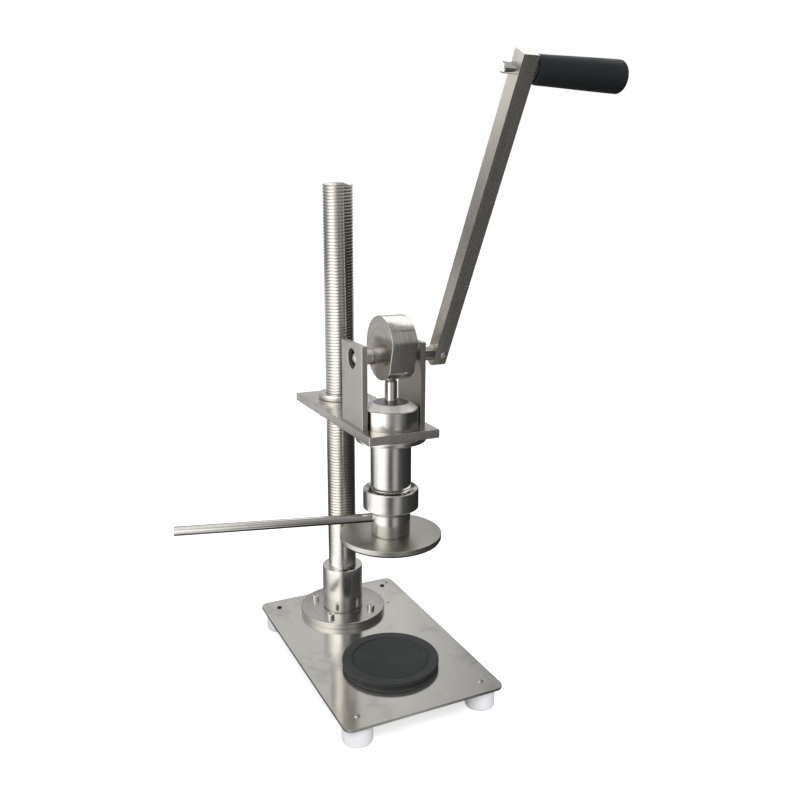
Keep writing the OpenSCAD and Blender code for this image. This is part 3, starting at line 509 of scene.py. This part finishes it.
def spring():
    """The return spring between the gland and the piston, built once at the CAD node's length; the real spring
    shortens as the lever comes down.
    """
    corners = [Vector(c) / MM for c in frame["nodes"]["return_spring"].bound_box]
    low, high = min(c.z for c in corners), max(c.z for c in corners)
    coil, wire, turns, steps, sides = 12.5, 1.5, 8, 48, 12
    rings = turns * steps
    verts = []
    for k in range(rings + 1):
        a = 2 * math.pi * k / steps
        z = low + wire + (high - low - 2 * wire) * k / rings
        for i in range(sides):
            b = 2 * math.pi * i / sides
            r = coil + wire * math.cos(b)
            verts.append((r * math.cos(a), r * math.sin(a), z + wire * math.sin(b)))
    faces = [tuple(reversed(range(sides))), tuple(range(rings * sides, (rings + 1) * sides))]
    for k in range(rings):
        for i in range(sides):
            a, b = k * sides + i, k * sides + (i + 1) % sides
            faces.append((a, b, b + sides, a + sides))
    coil_spring = fit(make("spring", verts, faces, "spring_wire", SPINDLE), "plunger", "spring_steel",
                      "return_spring")
    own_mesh(coil_spring)


spring()
for node in ("upper_race", "bearing_balls", "lower_race"):
    dress(node, "polished_steel", 0)
dress("bearing_cage", "bronze_painted_shade", 0)
dress("retaining_washer", "screw_steel", 0.2)
dress("retaining_screw", "screw_steel", 0.2)
dress("disc_screws", "screw_steel", 0)

cup_outline = [
    (7.7, 172), (7.7, HUB_END + 10), (13, HUB_END + 10), (13, HUB_END), (19.1, HUB_END),
    (19.1, HUB_END + 0.8), (20.4, HUB_END + 1.3, 0.3),
    (20.4, CONE_END - 1.2, 0.3), (19.5, CONE_END - 0.8), (19.5, CONE_END - 0.1), (20.6, CONE_END + 0.1),
    (28.85, CONE_TOP, 0.9), (28.85, CUP_RIM - 0.9, 0.5), (27.9, CUP_RIM, 0.3), (27.0, CUP_RIM, 0.5),
    (22.5, CUP_RIM - 2.6, 0.5),
    (22.5, 187.7, 0.3), (16.05, 187.7, 0.3), (16.05, 178.7), (7.7, 178.7)]
fit(lathe("cup", cup_outline, "turned_steel", SPINDLE, closed=True, segments=192), "swivel_head",
    "turned_steel", "swivel_cup")
disc_outline = [(0, 141.8), (53, 141.8, 0.3), (53, HUB_END, 0.6), (0, HUB_END)]
fit(lathe("disc", disc_outline, "disc_steel", SPINDLE, segments=192), "swivel_head", "turned_steel",
    "press_disc")
liner_outline = [(0, 139.8), (52, 139.8, 0.5), (52, 141.8, 0.3), (0, 141.8)]
fit(lathe("liner", liner_outline, "liner_rubber", SPINDLE), "swivel_head", "black_rubber", "press_liner")
bar_axis = at(0, 0, BAR_Z) @ Matrix.Rotation(BAR_ANGLE, 4, "Z") @ ALONG_X
bar_outline = [(0, 17.3), (4.75, 17.3), (4.75, BAR_LEN, 0.8), (0, BAR_LEN)]
fit(lathe("bar", bar_outline, "bar_steel", bar_axis, segments=64), "swivel_head", "polished_steel",
    "turning_bar")

# Cam, axle and lever

axle_outline = [(0, -CHEEK_OUT + 2), (2.4, -CHEEK_OUT + 2.1, 1.0), (5.0, -CHEEK_OUT + 2.9, 2.0),
                (6.7, -CHEEK_OUT + 4.6, 1.5),
                (7, -CHEEK_OUT + 6.4, 0.6), (7, LEVER_X + LEVER_W, 0.5), (0, LEVER_X + LEVER_W)]
fit(lathe("axle", axle_outline, "polished_steel", AXLE, segments=96), "lever", "turned_steel", "cam_axle")
for name, node, low, high in (("left_sleeve", "left_collar", -CHEEK_IN + 0.2, -CAM_HALF),
                              ("right_sleeve", "right_collar", CAM_HALF, CHEEK_IN - 0.2),
                              ("lever_sleeve", "lever_spacer", CHEEK_OUT + 0.2, LEVER_X)):
    outline = [(7.05, low), (8.5, low, 0.6), (8.5, high, 0.6), (7.05, high)]
    fit(lathe(name, outline, "turned_steel", AXLE, closed=True, segments=96), "lever", "turned_steel", node)


def cam():
    """A disc with one flat, soft edges and turned faces; its axis is local Z."""
    half, edge, arc, flat = CAM_HALF, 0.7, 200, 40
    turn = math.radians(195)
    steps = [math.radians(15 * k) for k in range(7)]
    near = [(edge * (1 - math.sin(s)), -half + edge * (1 - math.cos(s))) for s in steps]
    profile = [(9.0, -half), (2.2, -half)] + near
    profile += [(inset, -z) for inset, z in reversed(profile)]
    rings = []
    for inset, z in profile:
        r, d = CAM_R - inset, CAM_FLAT - inset
        corner = math.acos(d / r)
        ring = []
        for i in range(arc):
            a = turn + corner + (2 * math.pi - 2 * corner) * i / (arc - 1)
            ring.append((r * math.cos(a), r * math.sin(a), z))
        for i in range(1, flat):
            s = r * math.sin(corner) * (2 * i / flat - 1)
            ring.append((d * math.cos(turn) - s * math.sin(turn), d * math.sin(turn) + s * math.cos(turn),
                         z))
        rings.append(ring)
    sides = len(rings[0])
    verts = [v for ring in rings for v in ring]
    faces = []
    for k in range(len(rings) - 1):
        for i in range(sides):
            j = (i + 1) % sides
            faces.append((k * sides + i, k * sides + j, (k + 1) * sides + j, (k + 1) * sides + i))
    faces.append(tuple(reversed(range(sides))))
    faces.append(tuple(range((len(rings) - 1) * sides, len(rings) * sides)))
    # local X points back along row Y, local Y up, local Z along row X
    axes = Matrix(((0, 0, 1, 0), (1, 0, 0, 0), (0, 1, 0, 0), (0, 0, 0, 1)))
    return make("cam", verts, faces, "cam_steel", at(0, CAM_Y, CAM_Z) @ axes, smooth=20)


fit(cam(), "lever", "satin_steel", "press_cam", "cam_key")
dress("lever_arm", "lever_steel", 0.7, merge_flats=True)
dress("lever_screw", "screw_steel", 0.2, 2)

bolt_outline = [(0, LEVER_X - 13.3), (3.9, LEVER_X - 13.3, 0.8), (5, LEVER_X - 11.9, 1.0), (5, 153.6),
                (8, 153.6), (8, 159.5, 0.6), (3.2, 159.5, 0.2),
                (3.0, 156.5), (0, 156.5)]
fit(lathe("bolt", bolt_outline, "polished_steel", GRIP, segments=96), "lever", "polished_steel",
    "grip_bolt")
washer_outline = [(5.05, LEVER_X + LEVER_W), (10, LEVER_X + LEVER_W, 0.3), (10, GRIP_X - 0.2, 0.3),
                  (5.05, GRIP_X - 0.2)]
fit(lathe("bolt_washer", washer_outline, "dark_steel", GRIP, closed=True, segments=96), "lever",
    "fastener_steel", "grip_washer")
grip_far = GRIP_X + GRIP_LEN
grip_outline = [(5.4, GRIP_X), (11.3, GRIP_X, 0.8), (12.35, GRIP_X + 4, 3), (12.6, GRIP_X + 16, 10),
                (13.9, GRIP_X + 66, 20),
                (14.4, grip_far, 5.0), (8.9, grip_far, 0.5), (8.5, grip_far - 1), (8.5, 153.4),
                (5.4, 153.4)]
fit(lathe("grip_cover", grip_outline, "grip_black", GRIP, closed=True), "grip", "grip_plastic", "hand_grip")

# Studio


def studio_floor():
    """A pale floor that reads as white to the camera and to gloss, and keeps the shadow."""
    g = Graph("floor_white")
    path = g.add("ShaderNodeLightPath").outputs
    seen = g.math("MAXIMUM", g.math("MAXIMUM", path["Is Camera Ray"], path["Is Glossy Ray"]),
                  path["Is Transmission Ray"])
    diffuse = g.add("ShaderNodeBsdfDiffuse", Color=(0.80, 0.80, 0.80, 1))
    glow = g.add("ShaderNodeEmission", Color=(1, 1, 1, 1), Strength=0.62)
    both = g.add("ShaderNodeAddShader", i0=diffuse.outputs[0], i1=glow.outputs[0])
    mix = g.add("ShaderNodeMixShader", i0=seen, i1=diffuse.outputs[0], i2=both.outputs[0])
    g.tree.links.new(mix.outputs[0], g.out.inputs["Surface"])
    MATERIALS["floor_white"] = g.mat
    size = 20000
    floor = make("floor",
                 [(-size, -size, FLOOR), (size, -size, FLOOR), (size, size, FLOOR), (-size, size, FLOOR)],
                 [(0, 1, 2, 3)], "floor_white")


# Brightness round the object as gloss sees it, at angles from the camera's side in degrees, positive to the
# right. WALL gives the height in mm that each table is used at.
FOOT = [(-180, .35), (-160, .20), (-140, .08), (-126, .08), (-112, .16), (-98, .65), (-84, 1.10),
        (-68, 1.40), (-50, 1.55), (-34, 1.45),
        (-22, 1.00), (-14, .45), (-6, .16), (2, .10), (10, .26), (18, .52), (28, .46), (36, .26),
        (46, .10), (60, .08), (70, .05),
        (146, .02), (160, .10), (180, .35)]
LOW = [(-180, .35), (-160, .22), (-140, .11), (-126, .11), (-112, .28), (-98, .80), (-84, 1.15),
       (-68, 1.45), (-50, 1.55), (-34, 1.45),
       (-22, 1.00), (-14, .45), (-6, .16), (2, .10), (10, .24), (18, .48), (28, .46), (36, .28),
       (46, .09), (60, .06), (146, .02),
       (160, .10), (180, .35)]
FACES = [(-180, .66), (-160, .60), (-140, .60), (-126, .60), (-112, .64), (-98, .85), (-84, 1.20),
         (-68, 1.60), (-50, 1.85), (-34, 1.95),
         (-22, 1.55), (-14, 1.00), (-6, .55), (2, .30), (10, .30), (18, .40), (28, .42), (36, .28),
         (46, .14), (56, .10), (66, .04),
         (140, .04), (160, .40), (180, .66)]
TOPS = [(-180, .58), (-160, .52), (-146, .28), (-126, .20), (-112, .28), (-98, .50), (-84, 1.10),
        (-68, 2.00), (-50, 2.10), (-34, .90),
        (-22, .55), (-14, .45), (-6, .36), (2, .30), (10, .32), (18, .34), (28, .28), (36, .16),
        (46, .07), (60, .03), (140, .03),
        (160, .36), (180, .58)]
HIGH = [(-180, .62), (-150, .50), (-126, .40), (-98, .80), (-68, 1.50), (-40, 1.40), (-14, .60), (2, .40),
        (28, .40), (46, .42), (60, .46),
        (90, .50), (140, .50), (180, .62)]
UPPER = [(-180, 2.00), (-150, 1.40), (-120, 1.20), (-60, 1.40), (-30, 1.20), (-10, .70), (10, .45),
         (60, .45), (98, .55), (116, 1.80),
         (180, 2.00)]
WALL = [(FLOOR + 3, FOOT), (60, FOOT), (105, LOW), (150, FACES), (340, FACES), (400, TOPS), (455, TOPS),
        (530, HIGH), (570, HIGH),
        (640, UPPER), (1000, UPPER)]
FLOOR_NEAR = [(-180, .40), (-126, .12), (-112, .05), (-35, .05), (-18, .24), (0, .24), (18, .34),
              (36, .16), (50, .06), (150, .04),
              (180, .40)]
FLOOR_FAR = [(-180, .40), (-150, .25), (-126, .18), (-112, .36), (-98, 1.10), (-82, 1.90), (-60, 1.80),
             (-35, 1.05), (-18, .48), (0, .24),
             (18, .34), (36, .16), (50, .10), (70, .06), (150, .04), (180, .40)]
FLOOR_MID = [(-180, .40), (-150, .25), (-126, .18), (-112, .36), (-98, .80), (-82, 1.20), (-60, 1.55),
             (-35, 2.40), (-22, 1.25),
             (-11, .50), (0, .26), (11, .30), (24, .30), (36, .34), (60, .36), (90, .20), (150, .04),
             (180, .40)]
LID = [(-180, .40), (180, .40)]
CAMERA_SIDE = math.radians(-116)


def along(table, angle):
    for (a, low), (b, high) in zip(table, table[1:]):
        if a <= angle <= b:
            return low + (high - low) * (angle - a) / (b - a)
    return table[-1][1]


def studio_cards():
    """A ring of soft cards with its foot on the floor and a lid above, which only gloss sees."""
    g = Graph("cards")
    level = g.add("ShaderNodeAttribute", {"attribute_name": "level"})
    glow = g.add("ShaderNodeEmission", Color=level.outputs["Color"], Strength=2.0)
    g.tree.links.new(glow.outputs[0], g.out.inputs["Surface"])
    MATERIALS["cards"] = g.mat
    sides = 180
    rows = [(10, FLOOR + 0.4, FLOOR_NEAR), (195, FLOOR + 0.4, FLOOR_NEAR), (220, FLOOR + 0.4, FLOOR_MID),
            (280, FLOOR + 0.4, FLOOR_MID), (320, FLOOR + 0.4, FLOOR_FAR), (450, FLOOR + 0.4, FLOOR_FAR)]
    rows += [(452, z, table) for z, table in WALL] + [(450, 1002, UPPER), (290, 1002, UPPER),
                                                      (220, 1002, LID), (5, 1002, LID)]
    verts, levels = [], []
    for radius, z, table in rows:
        for i in range(sides):
            a = 360 * i / sides - 180
            t = math.radians(a)
            verts.append((radius * math.cos(t), radius * math.sin(t), z))
            levels.append(along(table, a) / 2)
    faces = [(k * sides + i, k * sides + (i + 1) % sides, (k + 1) * sides + (i + 1) % sides,
              (k + 1) * sides + i)
             for k in range(len(rows) - 1) for i in range(sides)]
    cards = make("studio_cards", verts, faces, "cards",
                 at(20, 40, 0) @ Matrix.Rotation(CAMERA_SIDE, 4, "Z"))
    colour = cards.data.color_attributes.new("level", "FLOAT_COLOR", "POINT")
    colour.data.foreach_set("color", [c for v in levels for c in (v, v, v, 1)])
    for ray in ("camera", "diffuse", "transmission", "volume_scatter", "shadow"):
        setattr(cards, f"visible_{ray}", False)


def world():
    w = bpy.data.worlds.new("studio")
    bpy.context.scene.world = w
    w.use_nodes = True
    nodes, links = w.node_tree.nodes, w.node_tree.links
    nodes.clear()
    out = nodes.new("ShaderNodeOutputWorld")
    path = nodes.new("ShaderNodeLightPath")
    low = nodes.new("ShaderNodeBackground")
    low.inputs["Color"].default_value = (1, 1, 1, 1)
    low.inputs["Strength"].default_value = 0.55
    white = nodes.new("ShaderNodeBackground")
    white.inputs["Color"].default_value = (1, 1, 1, 1)
    white.inputs["Strength"].default_value = 1.0
    seen = nodes.new("ShaderNodeMath")
    seen.operation = "MAXIMUM"
    both = nodes.new("ShaderNodeMath")
    both.operation = "MAXIMUM"
    links.new(path.outputs["Is Camera Ray"], seen.inputs[0])
    links.new(path.outputs["Is Glossy Ray"], seen.inputs[1])
    links.new(seen.outputs[0], both.inputs[0])
    links.new(path.outputs["Is Transmission Ray"], both.inputs[1])
    mix = nodes.new("ShaderNodeMixShader")
    links.new(both.outputs[0], mix.inputs[0])
    links.new(low.outputs[0], mix.inputs[1])
    links.new(white.outputs[0], mix.inputs[2])
    links.new(mix.outputs[0], out.inputs["Surface"])


def lamp(name, place, aim, size, power):
    light = bpy.data.lights.new(name, "AREA")
    light.shape = "DISK"
    light.size = size
    light.energy = power
    obj = bpy.data.objects.new(name, light)
    bpy.context.scene.collection.objects.link(obj)
    obj.location = Vector(place) * MM
    obj.visible_glossy = False
    obj.rotation_mode = "QUATERNION"
    obj.rotation_quaternion = (Vector(aim) - Vector(place)).to_track_quat("-Z", "Y")


def camera():
    """The photograph's camera, fitted in pixels of 800 by 800."""
    az, pitch, roll = (math.radians(a) for a in (-25.9691, 13.4803, 0.256))
    back = Vector((math.sin(az) * math.cos(pitch), -math.cos(az) * math.cos(pitch), math.sin(pitch)))
    right = (-back).cross(Vector((0, 0, 1))).normalized()
    up = right.cross(-back)
    right2 = right * math.cos(roll) + up * math.sin(roll)
    up2 = up * math.cos(roll) - right * math.sin(roll)
    data = bpy.data.cameras.new("camera")
    data.sensor_width = 36
    data.lens = 822.88 / 800 * 36
    data.clip_start, data.clip_end = 0.01, 100
    obj = bpy.data.objects.new("camera", data)
    bpy.context.scene.collection.objects.link(obj)
    rotation = Matrix((right2, up2, back)).transposed().to_4x4()
    obj.matrix_world = Matrix.Translation(Vector((-345.005, -729.169, 481.815)) * MM) @ rotation
    bpy.context.scene.camera = obj


studio_floor()
studio_cards()
world()
lamp("key", (-700, -900, 1300), (0, 40, 150), 0.9, 14)
lamp("top", (300, 100, 1500), (0, 60, 150), 1.2, 6)
camera()
bpy.context.scene.view_settings.view_transform = "Standard"
